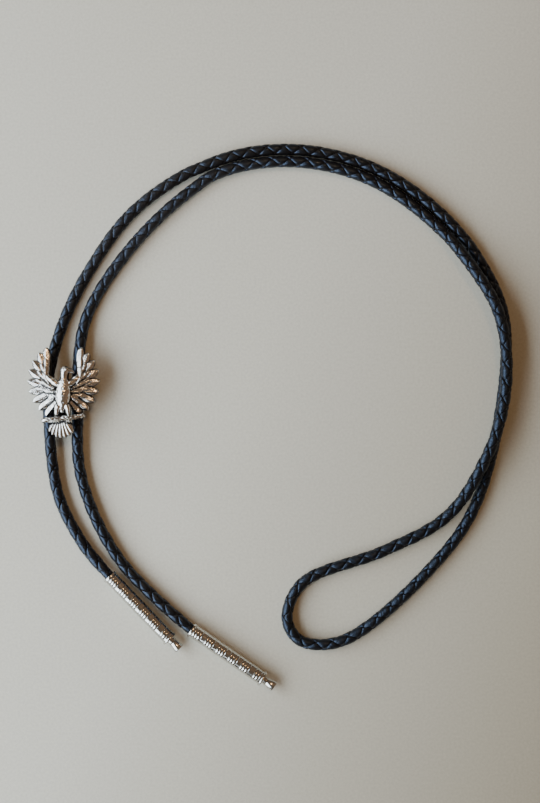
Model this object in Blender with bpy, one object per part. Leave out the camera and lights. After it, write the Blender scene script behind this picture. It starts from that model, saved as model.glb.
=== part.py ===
# Bolo tie: one braided leather cord laid as a double neck loop, a ringed metal tip on
# each end, and a cast slide held on both strands by the clip behind it.
# Metres, +Z up. It lies face up on z = 0, with the origin under the middle of the clip.
import math

import bmesh
import bpy
from mathutils import Matrix, Vector

MM = 0.001

# Cord, and how its two strands pass through the clip
CORD_D = 4.2 * MM
CORD_SIDES_RESOLUTION = 4
SAMPLES_PER_SPAN = 2
STRAND_PITCH = 10.0 * MM
FIT = 0.3 * MM

# Clip behind the slide
CLIP_WALL = 0.8 * MM
CLIP_LENGTH = 9.0 * MM
CLIP_ARC_STEPS = 9
STRAIGHT_RUN_OUT = 1.0 * MM

# Turned and ringed tips
TIP_LENGTH = 34.9 * MM
TIP_BODY_D = 4.8 * MM
TIP_MOUTH_D = 5.2 * MM
TIP_MOUTH_LENGTH = 0.6 * MM
TIP_FLANGE_D = 5.6 * MM
TIP_FLANGE_LENGTH = 0.9 * MM
TIP_NECK_D = 2.8 * MM
TIP_NECK_LENGTH = 1.2 * MM
TIP_NUB_D = 3.7 * MM
TIP_NUB_LENGTH = 3.4 * MM
TIP_BORE_D = 3.8 * MM
TIP_BORE_DEPTH = 8.6 * MM
TIP_EDGE = 0.25 * MM
RING_GROUPS = 6
RINGS_PER_GROUP = 3
RING_PITCH = 0.95 * MM
GROOVE_DEPTH = 0.22 * MM
TIP_SIDES = 12

# Cast figure: an eagle with raised wings on a branch
BODY_LENGTH = 13.0 * MM
WING_LENGTH = 9.9 * MM
TAIL_LENGTH = 8.8 * MM
HEAD_D = 3.5 * MM
BEAK_LENGTH = 2.6 * MM
THIGH_LENGTH = 4.2 * MM
TOE_LENGTH = 2.3 * MM
BRANCH_LENGTH = 15.5 * MM
BRANCH_D = 2.0 * MM
RELIEF = 5.0 * MM
FIGURE_X = 0.9 * MM
FIGURE_Y = -0.2 * MM

# Heights that follow from the sizes above
FLOOR_Z = CORD_D / 2
CLIP_CORD_Z = CLIP_WALL + FIT + CORD_D / 2
CLIP_TOP_Z = 2 * CLIP_CORD_Z
FIGURE_BACK_Z = CLIP_TOP_Z + FIT
TIP_AXIS_Z = TIP_FLANGE_D / 2
CORD_END_D = TIP_BORE_D - 2 * FIT

# Places on the cord's route
STRAND_X = STRAND_PITCH / 2
CHANNEL_Y = CLIP_LENGTH / 2 + STRAIGHT_RUN_OUT
TIP_1_MOUTH = Vector((15.6 * MM, -62.7 * MM, TIP_AXIS_Z))
TIP_1_AXIS = Vector((0.693, -0.721, 0)).normalized()
TIP_2_MOUTH = Vector((43.9 * MM, -81.2 * MM, TIP_AXIS_Z))
TIP_2_AXIS = Vector((0.823, -0.568, 0)).normalized()
CORD_INSERT = TIP_BORE_DEPTH - FIT

# Route of the cord in millimetres: x, y and the height of its centre above where it
# lies flat. It runs from the first tip up past the slide, round the neck loop, round
# the bight at the lower right and back along the inner side to the second tip. On the
# right the inner strand rides on top of the outer one.
OUTER_ROUTE = (
    (5.7, -50.7, 0.1), (-2.1, -34.2, 0))
NECK_ROUTE = (
    (-0.9, 22.7, 0), (8.2, 41.8, 0), (24.6, 63.8, 0), (51.1, 80.4, 0), (77.6, 85.0, 0),
    (103.0, 80.1, 0), (126.5, 66.3, 0), (143.0, 47.3, 0), (152.5, 23.5, 0),
    (143.1, -35.9, 0), (125.2, -61.5, 0), (96.1, -84.9, 0), (81.8, -84.8, 0),
    (77.2, -77.3, 0), (82.3, -65.1, 0), (110.9, -53.7, 0), (132.0, -42.0, 0.7),
    (147.2, -19.3, 4.9), (153.1, 4.8, 4.9), (150.7, 27.2, 4.8), (142.2, 42.6, 3.7),
    (125.6, 60.8, 0), (105.0, 74.5, 0), (78.6, 80.3, 0), (55.3, 76.9, 0),
    (39.6, 67.1, 0), (20.4, 47.3, 0), (7.8, 26.2, 0))
INNER_ROUTE = (
    (6.1, -28.1, 0), (19.0, -56.7, 0))

# Body of the figure from the neck to the tail root. along, side and half_width are
# shares of BODY_LENGTH, height is a share of RELIEF.
BODY_COLUMNS = ("along", "side", "half_width", "height")
BODY_SECTIONS = (
    (0.00, 0.035, 0.105, 0.84),
    (0.12, 0.030, 0.150, 0.90),
    (0.30, 0.020, 0.205, 0.97),
    (0.50, 0.005, 0.220, 1.00),
    (0.70, -0.010, 0.180, 0.92),
    (0.86, -0.025, 0.125, 0.74),
    (1.00, -0.040, 0.070, 0.55))

# Rows of feathers on each wing, the long flight feathers first. length and width are
# shares of WING_LENGTH, height is a share of RELIEF. The feathers of a row turn from
# the first to the last heading of WING_SWEEP, in degrees, and the middle ones start
# further in by WING_TUCK, a share of WING_LENGTH.
WING_COLUMNS = ("count", "length", "width", "height")
WING_ROWS = (
    (9, 1.00, 0.285, 0.36),
    (8, 0.64, 0.225, 0.50),
    (6, 0.38, 0.220, 0.62))
WING_TUCK = 0.14
WING_SWEEP = (86, -54)

# A feather from its root to its tip. along is a share of its length, half_width of
# its width, height of its ridge height.
FEATHER_COLUMNS = ("along", "half_width", "height")
FEATHER_STATIONS = (
    (0.00, 0.30, 1.00),
    (0.40, 0.46, 0.98),
    (0.74, 0.50, 0.90),
    (0.92, 0.34, 0.80),
    (1.00, 0.08, 0.72))
FEATHER_EDGE_HEIGHT = 0.72
FEATHER_TWIST = 0.3

# Arm of a wing. x and y are shares of BODY_LENGTH from the middle of the body,
# half_width is a share of WING_LENGTH, z and half_height are shares of RELIEF.
LIMB_COLUMNS = ("x", "y", "z", "half_width", "half_height")
ARM_STOPS = (
    (0.10, 0.26, 0.50, 0.13, 0.32),
    (0.24, 0.38, 0.46, 0.13, 0.30),
    (0.37, 0.50, 0.42, 0.11, 0.26),
    (0.42, 0.60, 0.38, 0.06, 0.18))

# Neck and head in profile, from the middle of the neck. x, y and half_width are
# shares of HEAD_D, z and half_height are shares of RELIEF.
HEAD_STOPS = (
    (0.00, -0.50, 0.42, 0.42, 0.42),
    (0.00, 0.00, 0.42, 0.40, 0.42),
    (0.05, 0.52, 0.48, 0.50, 0.44),
    (0.05, 0.80, 0.48, 0.40, 0.38),
    (0.05, 1.00, 0.48, 0.18, 0.20))

# Hooked beak, from the front of the head. x is a share of BEAK_LENGTH, y and
# half_width are shares of HEAD_D, z and half_height are shares of RELIEF.
BEAK_STOPS = (
    (-0.47, 0.08, 0.53, 0.31, 0.30),
    (-0.03, 0.06, 0.53, 0.24, 0.24),
    (0.45, -0.04, 0.53, 0.16, 0.17),
    (0.68, -0.27, 0.53, 0.06, 0.10))

# Tail feathers, fanned evenly to both sides of TAIL_HEADING, in degrees.
TAIL_FEATHERS = 7
TAIL_HEADING = -92
TAIL_SPREAD = 30
TAIL_ROOT = (-0.04, -0.44)
TAIL_FEATHER_WIDTH = 0.27
TAIL_HEIGHT = 0.38

# Branch. along and rise are shares of BRANCH_LENGTH, swell is a share of its radius.
BRANCH_Y = -0.60
BRANCH_HEIGHT = 0.46
BRANCH_COLUMNS = ("along", "rise", "swell")
BRANCH_STOPS = (
    (-0.50, -0.060, 0.72),
    (-0.30, -0.020, 1.04),
    (-0.05, 0.000, 0.90),
    (0.15, 0.020, 1.06),
    (0.34, 0.035, 0.90),
    (0.50, 0.075, 0.66))

# Leg, from the branch's axis. x and y are shares of THIGH_LENGTH, as is half_width;
# z and half_height are shares of RELIEF. LEG_X is a share of BODY_LENGTH.
LEG_X = 0.11
LEG_STOPS = (
    (0.00, 1.24, 0.55, 0.30, 0.34),
    (0.10, 0.65, 0.61, 0.26, 0.30),
    (0.18, 0.17, 0.66, 0.13, 0.20))

# Toe, from the foot to its claw. x spreads it sideways. x, y and half_width are
# shares of TOE_LENGTH, z and half_height are shares of RELIEF.
TOE_STOPS = (
    (0.00, 0.00, 0.66, 0.20, 0.17),
    (0.21, -0.50, 0.69, 0.20, 0.15),
    (0.42, -1.00, 0.52, 0.08, 0.12))


def clear_scene():
    for old in list(bpy.data.objects):
        bpy.data.objects.remove(old, do_unlink=True)


def metal(name, color, roughness):
    return principled(name, color, roughness, 1.0)


def principled(name, color, roughness, metallic):
    material = bpy.data.materials.new(name)
    material.use_nodes = True
    shader = material.node_tree.nodes["Principled BSDF"]
    shader.inputs["Base Color"].default_value = (*color, 1.0)
    shader.inputs["Roughness"].default_value = roughness
    shader.inputs["Metallic"].default_value = metallic
    material.diffuse_color = (*color, 1.0)
    return material


def add_object(name, mesh, material, smooth_angle=40):
    mesh.materials.clear()
    mesh.materials.append(material)
    mesh.shade_smooth()
    mesh.set_sharp_from_angle(angle=math.radians(smooth_angle))
    obj = bpy.data.objects.new(name, mesh)
    bpy.context.scene.collection.objects.link(obj)
    return obj


def mesh_from(bm, name):
    bmesh.ops.recalc_face_normals(bm, faces=bm.faces)
    mesh = bpy.data.meshes.new(name)
    bm.to_mesh(mesh)
    bm.free()
    return mesh


def rows(columns, table):
    """Each row of a table as a dictionary of its columns."""
    return [dict(zip(columns, row)) for row in table]


def loft(bm, rings):
    """Skin rings that have the same number of points, and close both ends."""
    loops = [[bm.verts.new(point) for point in ring] for ring in rings]
    for lower, upper in zip(loops, loops[1:]):
        for i in range(len(lower)):
            j = (i + 1) % len(lower)
            bm.faces.new((lower[i], lower[j], upper[j], upper[i]))
    bm.faces.new(list(reversed(loops[0])))
    bm.faces.new(loops[-1])


def oval(center, across, up, half_width, half_height, sides):
    """A ring of points round an ellipse that stands on the plane of across and up."""
    points = []
    for i in range(sides):
        angle = 2 * math.pi * (i + 0.5) / sides
        points.append(center + across * (half_width * math.cos(angle))
                      + up * (half_height * math.sin(angle)))
    return points


# Cord

def cord_route():
    """The route's own points: centre of the cord in metres, and its diameter there."""
    def lying(table):
        return [Vector((x * MM, y * MM, FLOOR_Z + lift * MM)) for x, y, lift in table]

    def channel(x, y):
        return Vector((x, y, CLIP_CORD_Z))

    first_end = [TIP_1_MOUTH + TIP_1_AXIS * CORD_INSERT, TIP_1_MOUTH]
    second_end = [TIP_2_MOUTH, TIP_2_MOUTH + TIP_2_AXIS * CORD_INSERT]
    left = [channel(-STRAND_X, -CHANNEL_Y), channel(-STRAND_X, CHANNEL_Y)]
    right = [channel(STRAND_X, CHANNEL_Y), channel(STRAND_X, -CHANNEL_Y)]
    points = (first_end + lying(OUTER_ROUTE) + left + lying(NECK_ROUTE) + right
              + lying(INNER_ROUTE) + second_end)
    diameters = [CORD_D] * len(points)
    for i in (0, 1, -1, -2):
        diameters[i] = CORD_END_D
    return points, diameters


def smooth_curve(points, samples):
    """Centripetal Catmull-Rom curve through the points, and each sample's span."""
    curve = []
    spans = []
    for i in range(len(points) - 1):
        p1, p2 = points[i], points[i + 1]
        p0 = points[i - 1] if i > 0 else 2 * p1 - p2
        p3 = points[i + 2] if i + 2 < len(points) else 2 * p2 - p1
        a, b, c = (math.sqrt((q - p).length) for p, q in ((p0, p1), (p1, p2), (p2, p3)))
        start = b * ((p1 - p0) / a - (p2 - p0) / (a + b) + (p2 - p1) / b)
        end = b * ((p2 - p1) / b - (p3 - p1) / (b + c) + (p3 - p2) / c)
        for k in range(samples):
            u = k / samples
            point = ((2 * u**3 - 3 * u**2 + 1) * p1 + (u**3 - 2 * u**2 + u) * start
                     + (3 * u**2 - 2 * u**3) * p2 + (u**3 - u**2) * end)
            curve.append(point)
            spans.append(i + u)
    curve.append(points[-1])
    spans.append(len(points) - 1)
    return curve, spans


def make_cord(material):
    points, diameters = cord_route()
    curve, spans = smooth_curve(points, SAMPLES_PER_SPAN)
    data = bpy.data.curves.new("cord", "CURVE")
    data.dimensions = "3D"
    data.bevel_depth = CORD_D / 2
    data.bevel_resolution = CORD_SIDES_RESOLUTION
    data.use_fill_caps = True
    spline = data.splines.new("POLY")
    spline.points.add(len(curve) - 1)
    for target, point, span in zip(spline.points, curve, spans):
        height = max(point.z, FLOOR_Z)
        target.co = (point.x, point.y, height, 1.0)
        before = diameters[math.floor(span)]
        after = diameters[math.ceil(span)]
        target.radius = (before + (after - before) * (span % 1.0)) / CORD_D
    data.materials.append(material)
    obj = bpy.data.objects.new("cord", data)
    bpy.context.scene.collection.objects.link(obj)


# Tips

def tip_profile():
    """(distance from the mouth, radius) of a tip, from the bore's floor to the nub."""
    body = TIP_BODY_D / 2
    mouth = TIP_MOUTH_D / 2
    bore = TIP_BORE_D / 2
    profile = [(TIP_BORE_DEPTH, 0), (TIP_BORE_DEPTH, bore), (0, bore),
               (0, mouth - TIP_EDGE), (TIP_EDGE, mouth), (TIP_MOUTH_LENGTH, mouth)]
    flange_end = TIP_LENGTH - TIP_NUB_LENGTH - TIP_NECK_LENGTH
    flange_start = flange_end - TIP_FLANGE_LENGTH
    group_pitch = (flange_start - TIP_MOUTH_LENGTH) / RING_GROUPS
    for group in range(RING_GROUPS):
        middle = TIP_MOUTH_LENGTH + group_pitch * (group + 0.5)
        first = middle - RING_PITCH * RINGS_PER_GROUP / 2
        profile.append((first - RING_PITCH / 3, body))
        for ring in range(RINGS_PER_GROUP):
            groove = first + RING_PITCH * ring
            profile.append((groove, body - GROOVE_DEPTH))
            profile.append((groove + RING_PITCH / 2, body))
        last = first + RING_PITCH * RINGS_PER_GROUP
        profile.append((last, body - GROOVE_DEPTH))
        profile.append((last + RING_PITCH / 3, body))
    flange = TIP_FLANGE_D / 2
    neck = TIP_NECK_D / 2
    nub = TIP_NUB_D / 2
    profile += [(flange_start, body), (flange_start + TIP_EDGE, flange),
                (flange_end - TIP_EDGE, flange), (flange_end, neck),
                (flange_end + TIP_NECK_LENGTH, neck),
                (flange_end + TIP_NECK_LENGTH, nub - TIP_EDGE),
                (flange_end + TIP_NECK_LENGTH + TIP_EDGE, nub),
                (TIP_LENGTH - TIP_EDGE, nub), (TIP_LENGTH, nub - TIP_EDGE),
                (TIP_LENGTH, 0)]
    return profile


def turned_mesh(name, profile, sides):
    """Turn a profile round +X. Its first and last points lie on the axis."""
    bm = bmesh.new()
    first = bm.verts.new((profile[0][0], 0, 0))
    last = bm.verts.new((profile[-1][0], 0, 0))
    loops = []
    for along, radius in profile[1:-1]:
        loop = []
        for i in range(sides):
            angle = 2 * math.pi * (i + 0.5) / sides
            loop.append(bm.verts.new((along, radius * math.cos(angle),
                                      radius * math.sin(angle))))
        loops.append(loop)
    for i in range(sides):
        j = (i + 1) % sides
        bm.faces.new((first, loops[0][i], loops[0][j]))
        bm.faces.new((last, loops[-1][j], loops[-1][i]))
        for lower, upper in zip(loops, loops[1:]):
            bm.faces.new((lower[i], lower[j], upper[j], upper[i]))
    return mesh_from(bm, name)


def make_tips(material):
    mesh = turned_mesh("tip", tip_profile(), TIP_SIDES)
    places = (("tip_left", TIP_1_MOUTH, TIP_1_AXIS), ("tip_right", TIP_2_MOUTH, TIP_2_AXIS))
    for name, mouth, axis in places:
        tip = add_object(name, mesh, material)
        tip.location = mouth
        tip.rotation_euler = (0, 0, math.atan2(axis.y, axis.x))


# Clip

def clip_loop(bm, radius, y):
    """One edge of the clip's wall: straight above and below, round beside each strand."""
    loop = []
    for side, start in ((1, -90), (-1, 90)):
        for i in range(CLIP_ARC_STEPS + 1):
            angle = math.radians(start + 180 * i / CLIP_ARC_STEPS)
            loop.append(bm.verts.new((side * STRAND_X + radius * math.cos(angle), y,
                                      CLIP_CORD_Z + radius * math.sin(angle))))
    return loop


def make_clip(material):
    """A flat band closed round both strands. The figure sits on its upper face."""
    bm = bmesh.new()
    inner = CORD_D / 2 + FIT
    outer = inner + CLIP_WALL
    half = CLIP_LENGTH / 2
    loops = [clip_loop(bm, outer, -half), clip_loop(bm, outer, half),
             clip_loop(bm, inner, half), clip_loop(bm, inner, -half)]
    for k in range(len(loops)):
        near = loops[k]
        far = loops[(k + 1) % len(loops)]
        for i in range(len(near)):
            j = (i + 1) % len(near)
            bm.faces.new((near[i], near[j], far[j], far[i]))
    add_object("slide_clip", mesh_from(bm, "slide_clip"), material)


# Figure, drawn in its own frame: +Y up the figure, z = 0 at its flat back

def feather(bm, root, heading, length, width, ridge, side):
    """A blade with a raised shaft line. One edge is lifted and the other dropped."""
    forward = Vector((math.cos(heading), math.sin(heading), 0))
    left = Vector((-forward.y, forward.x, 0))
    below = Vector((0, 0, -RELIEF * 0.2))
    rings = []
    for station in rows(FEATHER_COLUMNS, FEATHER_STATIONS):
        middle = root + forward * (length * station["along"])
        half = left * (width * station["half_width"])
        top = ridge * station["height"]
        edge = top * FEATHER_EDGE_HEIGHT
        right_edge = Vector((0, 0, edge * (1 - FEATHER_TWIST * side)))
        left_edge = Vector((0, 0, edge * (1 + FEATHER_TWIST * side)))
        rings.append([middle - half + below,
                      middle - half + right_edge,
                      middle + Vector((0, 0, top)),
                      middle + half + left_edge,
                      middle + half + below])
    loft(bm, rings)


def limb(bm, stops, sides):
    """A rounded limb through stops of (x, y, z, half width, half height)."""
    up = Vector((0, 0, 1))
    centers = [Vector(stop[:3]) for stop in stops]
    rings = []
    for i, stop in enumerate(stops):
        ahead = centers[min(i + 1, len(stops) - 1)] - centers[max(i - 1, 0)]
        across = ahead.cross(up).normalized()
        rings.append(oval(centers[i], across, across.cross(ahead).normalized(),
                          stop[3], stop[4], sides))
    loft(bm, rings)


def scaled_limb(bm, table, origin, x_size, y_size, width_size, sides):
    """A limb from a table of shares. origin is (x, y), and heights follow RELIEF."""
    stops = []
    for stop in rows(LIMB_COLUMNS, table):
        stops.append((origin[0] + stop["x"] * x_size, origin[1] + stop["y"] * y_size,
                      stop["z"] * RELIEF, stop["half_width"] * width_size,
                      stop["half_height"] * RELIEF))
    limb(bm, stops, sides)


def add_wing(bm, side):
    """One raised wing. side is 1 on the right of the figure and -1 on the left."""
    wrist = Vector((side * 0.40 * BODY_LENGTH, 0.50 * BODY_LENGTH, 0))
    armpit = Vector((side * 0.15 * BODY_LENGTH, -0.08 * BODY_LENGTH, 0))
    for row in rows(WING_COLUMNS, WING_ROWS):
        for i in range(row["count"]):
            share = i / (row["count"] - 1)
            top_heading, low_heading = WING_SWEEP
            heading = math.radians(top_heading + (low_heading - top_heading) * share)
            if side < 0:
                heading = math.pi - heading
            tuck = WING_LENGTH * WING_TUCK * math.sin(math.pi * share)
            back = Vector((-math.cos(heading), -math.sin(heading), 0)) * tuck
            root = wrist.lerp(armpit, share) + back
            length = WING_LENGTH * row["length"] * (1 - 0.26 * share**1.6) + tuck
            width = WING_LENGTH * row["width"] * (1 - 0.15 * share)
            feather(bm, root, heading, length, width, RELIEF * row["height"], side)
    scaled_limb(bm, ARM_STOPS, (0, 0), side * BODY_LENGTH, BODY_LENGTH, WING_LENGTH, 8)


def add_body(bm):
    top = BODY_LENGTH / 2
    stops = []
    for section in rows(BODY_COLUMNS, BODY_SECTIONS):
        half_height = RELIEF * section["height"] / 2
        stops.append((BODY_LENGTH * section["side"], top - BODY_LENGTH * section["along"],
                      half_height, BODY_LENGTH * section["half_width"], half_height))
    limb(bm, stops, 10)


def add_head(bm):
    """A head in profile that faces +X, with a hooked beak."""
    neck = (0.035 * BODY_LENGTH, BODY_LENGTH / 2)
    scaled_limb(bm, HEAD_STOPS, neck, HEAD_D, HEAD_D, HEAD_D, 10)
    front = (neck[0] + 0.55 * HEAD_D, neck[1] + 0.52 * HEAD_D)
    scaled_limb(bm, BEAK_STOPS, front, BEAK_LENGTH, HEAD_D, HEAD_D, 6)


def add_tail(bm):
    root = Vector((TAIL_ROOT[0] * BODY_LENGTH, TAIL_ROOT[1] * BODY_LENGTH, 0))
    for i in range(TAIL_FEATHERS):
        share = 2 * i / (TAIL_FEATHERS - 1) - 1
        heading = math.radians(TAIL_HEADING + TAIL_SPREAD * share)
        length = TAIL_LENGTH * (1 - 0.10 * share**2)
        feather(bm, root, heading, length, TAIL_FEATHER_WIDTH * TAIL_LENGTH,
                TAIL_HEIGHT * RELIEF, 1)


def add_branch_and_feet(bm):
    """A knotty branch across the tail, and two feet that grip it."""
    middle_y = BRANCH_Y * BODY_LENGTH
    height = BRANCH_HEIGHT * RELIEF
    stops = []
    for stop in rows(BRANCH_COLUMNS, BRANCH_STOPS):
        stops.append((BRANCH_LENGTH * stop["along"], middle_y + BRANCH_LENGTH * stop["rise"],
                      height, BRANCH_D / 2 * stop["swell"], height * stop["swell"]))
    limb(bm, stops, 8)
    for side in (-1, 1):
        hip_x = side * LEG_X * BODY_LENGTH
        scaled_limb(bm, LEG_STOPS, (hip_x, middle_y), side * THIGH_LENGTH, THIGH_LENGTH,
                    THIGH_LENGTH, 8)
        foot = (hip_x + side * LEG_STOPS[-1][0] * THIGH_LENGTH,
                middle_y + LEG_STOPS[-1][1] * THIGH_LENGTH)
        for spread in (-1, 0, 1):
            scaled_limb(bm, TOE_STOPS, foot, spread * TOE_LENGTH, TOE_LENGTH, TOE_LENGTH, 6)


def make_figure(material):
    """All raised forms fused into one casting, cut flat at the back."""
    bm = bmesh.new()
    add_body(bm)
    add_head(bm)
    add_wing(bm, 1)
    add_wing(bm, -1)
    add_tail(bm)
    add_branch_and_feet(bm)
    figure = add_object("slide_figure", mesh_from(bm, "slide_figure"), material, 30)
    figure.location = (FIGURE_X, FIGURE_Y, FIGURE_BACK_Z)

    reach = 2 * (BODY_LENGTH + WING_LENGTH + TAIL_LENGTH)
    bm = bmesh.new()
    bmesh.ops.create_cube(bm, size=1, matrix=Matrix.Translation((0, 0, RELIEF))
                          @ Matrix.Diagonal((reach, reach, 2 * RELIEF, 1)))
    slab = bpy.data.objects.new("figure_slab", mesh_from(bm, "figure_slab"))
    bpy.context.scene.collection.objects.link(slab)
    slab.location = figure.location
    slab.hide_render = True
    slab.display_type = "WIRE"
    fuse = figure.modifiers.new("fuse and cut the back flat", "BOOLEAN")
    fuse.operation = "INTERSECT"
    fuse.solver = "EXACT"
    fuse.use_self = True
    fuse.object = slab


def main():
    clear_scene()
    make_cord(principled("braided_leather", (0.012, 0.012, 0.014), 0.35, 0.0))
    make_tips(metal("plated_brass", (0.78, 0.77, 0.75), 0.18))
    make_clip(metal("nickel_steel", (0.55, 0.55, 0.54), 0.35))
    make_figure(metal("cast_silver", (0.80, 0.79, 0.77), 0.25))


main()
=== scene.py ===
# Bolo tie on a pale table top: a braided leather cord laid in a neck loop, two ringed
# tips, and a cast silver eagle that a clip holds on both strands. All in metres.
import math

import bpy
import numpy as np
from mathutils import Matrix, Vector


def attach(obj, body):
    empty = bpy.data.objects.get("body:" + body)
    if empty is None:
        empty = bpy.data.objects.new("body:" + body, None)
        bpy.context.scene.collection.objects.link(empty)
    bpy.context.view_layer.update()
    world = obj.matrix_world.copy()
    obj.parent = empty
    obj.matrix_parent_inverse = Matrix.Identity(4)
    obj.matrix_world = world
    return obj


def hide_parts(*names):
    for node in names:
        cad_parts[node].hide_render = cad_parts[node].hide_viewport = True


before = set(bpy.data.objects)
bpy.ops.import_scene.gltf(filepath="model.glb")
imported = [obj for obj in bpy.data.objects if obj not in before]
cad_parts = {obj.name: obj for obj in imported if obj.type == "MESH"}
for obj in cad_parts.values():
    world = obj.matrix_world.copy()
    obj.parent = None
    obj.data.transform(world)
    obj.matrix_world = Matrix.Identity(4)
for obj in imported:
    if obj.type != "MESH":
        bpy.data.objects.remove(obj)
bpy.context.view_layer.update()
mm = 0.001
print("frame loaded:", ", ".join(sorted(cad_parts)))


def deselectAll():
    bpy.ops.object.select_all(action="DESELECT")


def pick(*objects):
    # selects these objects only, the first one active
    deselectAll()
    for obj in objects:
        obj.select_set(True)
    bpy.context.view_layer.objects.active = objects[0]


def applyPlace(obj):
    pick(obj)
    bpy.ops.object.transform_apply(location=True, rotation=True, scale=True)


def editAll():
    # edit mode, with the whole mesh selected
    bpy.ops.object.mode_set(mode="EDIT")
    bpy.ops.mesh.select_all(action="SELECT")


def leaveEditing():
    # back to object mode, with all faces pointing outwards
    bpy.ops.mesh.select_all(action="SELECT")
    bpy.ops.mesh.normals_make_consistent(inside=False)
    bpy.ops.object.mode_set(mode="OBJECT")


def applyModifier(obj, kind, settings):
    pick(obj)
    modifier = obj.modifiers.new(kind.title(), kind)
    for key, value in settings.items():
        setattr(modifier, key, value)
    bpy.ops.object.modifier_apply(modifier=modifier.name)


def hexColor(code):
    # sRGB hex to the linear values that a shader takes
    channels = [int(code[i:i + 2], 16) / 255 for i in (1, 3, 5)]
    linear = [c / 12.92 if c <= 0.04045 else ((c + 0.055) / 1.055) ** 2.4 for c in channels]
    return (*linear, 1.0)


def newMaterial(name):
    material = bpy.data.materials.new(name)
    material.use_nodes = True
    return material, material.node_tree, material.node_tree.nodes["Principled BSDF"]


def addNode(tree, kind, settings=None, links=None):
    # one shader node with its settings, and the sockets that feed it. A colour Mix has
    # its two colours on sockets 6 and 7, and gives the result on 2.
    node = tree.nodes.new(kind)
    for key, value in (settings or {}).items():
        if isinstance(key, str) and hasattr(node, key):
            setattr(node, key, value)
        else:
            node.inputs[key].default_value = value
    for key, source in (links or {}).items():
        tree.links.new(source, node.inputs[key])
    return node


def setShader(tree, shader, settings, links):
    # constants go straight on the shader's sockets, and nodes feed the others
    for key, value in settings.items():
        shader.inputs[key].default_value = value
    for key, source in links.items():
        tree.links.new(source, shader.inputs[key])


def finishPiece(obj, name, material, replaces, smoothAngle):
    obj.name = name
    obj.data.name = name
    obj.data.materials.clear()
    obj.data.materials.append(material)
    pick(obj)
    bpy.ops.object.shade_smooth_by_angle(angle=math.radians(smoothAngle))
    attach(obj, "root")
    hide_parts(replaces)
    print("made", name, "with", len(obj.data.polygons), "faces")


# Camera, straight above the table as the photo was taken
cameraSettings = {
    "lens": 60.9, "sensor": 36.0, "nearest": 10 * mm,
    "x": 71.3 * mm, "y": -2.25 * mm, "height": 0.471}
deselectAll()
bpy.ops.object.camera_add(
    location=(cameraSettings["x"], cameraSettings["y"], cameraSettings["height"]),
    rotation=(0, 0, 0))
camera = bpy.context.object
camera.data.lens = cameraSettings["lens"]
camera.data.sensor_width = cameraSettings["sensor"]
camera.data.clip_start = cameraSettings["nearest"]
bpy.context.scene.camera = camera


# Cord. Its route is the CAD's own, in millimetres: x, y and the height of its centre.
cordRoute = [
    (21.35, -68.68, 2.8), (15.6, -62.7, 2.8), (5.7, -50.7, 2.2), (-2.1, -34.2, 2.1),
    (-5.0, -5.5, 3.2), (-5.0, 5.5, 3.2), (-0.9, 22.7, 2.1), (8.2, 41.8, 2.1),
    (24.6, 63.8, 2.1), (51.1, 80.4, 2.1), (77.6, 85.0, 2.1), (103.0, 80.1, 2.1),
    (126.5, 66.3, 2.1), (143.0, 47.3, 2.1), (152.5, 23.5, 2.1), (143.1, -35.9, 2.1),
    (125.2, -61.5, 2.1), (96.1, -84.9, 2.1), (81.8, -84.8, 2.1), (77.2, -77.3, 2.1),
    (82.3, -65.1, 2.1), (110.9, -53.7, 2.1), (132.0, -42.0, 2.8), (147.2, -19.3, 7.0),
    (153.1, 4.8, 7.0), (150.7, 27.2, 6.9), (142.2, 42.6, 5.8), (125.6, 60.8, 2.1),
    (105.0, 74.5, 2.1), (78.6, 80.3, 2.1), (55.3, 76.9, 2.1), (39.6, 67.1, 2.1),
    (20.4, 47.3, 2.1), (7.8, 26.2, 2.1), (5.0, 5.5, 3.2), (5.0, -5.5, 3.2),
    (6.1, -28.1, 2.1), (19.0, -56.7, 2.1), (43.9, -81.2, 2.8), (50.73, -85.91, 2.8)]

cordSettings = {
    "diameter": 4.2 * mm,
    "length": 0.93,
    "samples": 24,                # from one point of the route to the next, and in a turn
    "turn": 12.1 * mm,            # one lace goes once round the cord in this length
    "laceWidth": 3.84 * mm,
    "laceThickness": 0.72 * mm,
    "middleRadius": 1.37 * mm,    # of the laces' centres
    "weave": 0.33 * mm,           # how far a lace rises and dips at the crossings
    "steepness": 2.4,             # how suddenly it does so
    "stepsPerTurn": 28,
    "crowding": 0.45,             # of the steps towards the places where it dips
    "uneven": 0.035 * mm,         # hand-laid laces never lie quite alike
    # wave length of a lace's wander or dip, and what sets each lace off from the last
    "wanders": ((7.3 * mm, 2.1), (3.1 * mm, 4.4)),
    "dips": (5.2 * mm, 1.3),
    "laceApart": 0.05,            # keeps the grain of one lace from matching the next
    "facing": math.pi / 4,        # turns a column of chevrons towards the camera
    "insert": 8.3 * mm,
    "taper": 5.0 * mm,
    "endShare": 0.88,             # where the tip's mouth pinches it
    "nextRound": 60,              # points of the route to a different round of the loop
    "drawn": 1.4 * mm,            # rounds less than this apart are drawn together
    "eased": 9,                   # points that the drawing together is spread over
    "leaning": 1.0 * mm,          # the round on top leans this far towards the middle
    "raised": (3.4 * mm, 6.4 * mm),   # heights at which the lean starts and is full
    # how far each end, with its tip, lies inwards of the CAD's, and on what length
    "nudges": ((0.33 * mm, 0.36 * mm), (0.16 * mm, 0.47 * mm)),
    "nudged": 60 * mm,
    "twist": 0.3,                 # slow turning of the whole braid, in radians
    "twistLength": 0.31}

# a lace cut across, as shares of its half width and half thickness: a flat grain side
# with rounded edges, and a flat flesh side
laceOutline = [(1.0, -0.45), (0.97, 0.35), (0.80, 0.84), (0.42, 0.98), (0.0, 1.0),
               (-0.42, 0.98), (-0.80, 0.84), (-0.97, 0.35), (-1.0, -0.45),
               (-0.7, -1.0), (0.7, -1.0)]


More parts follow.
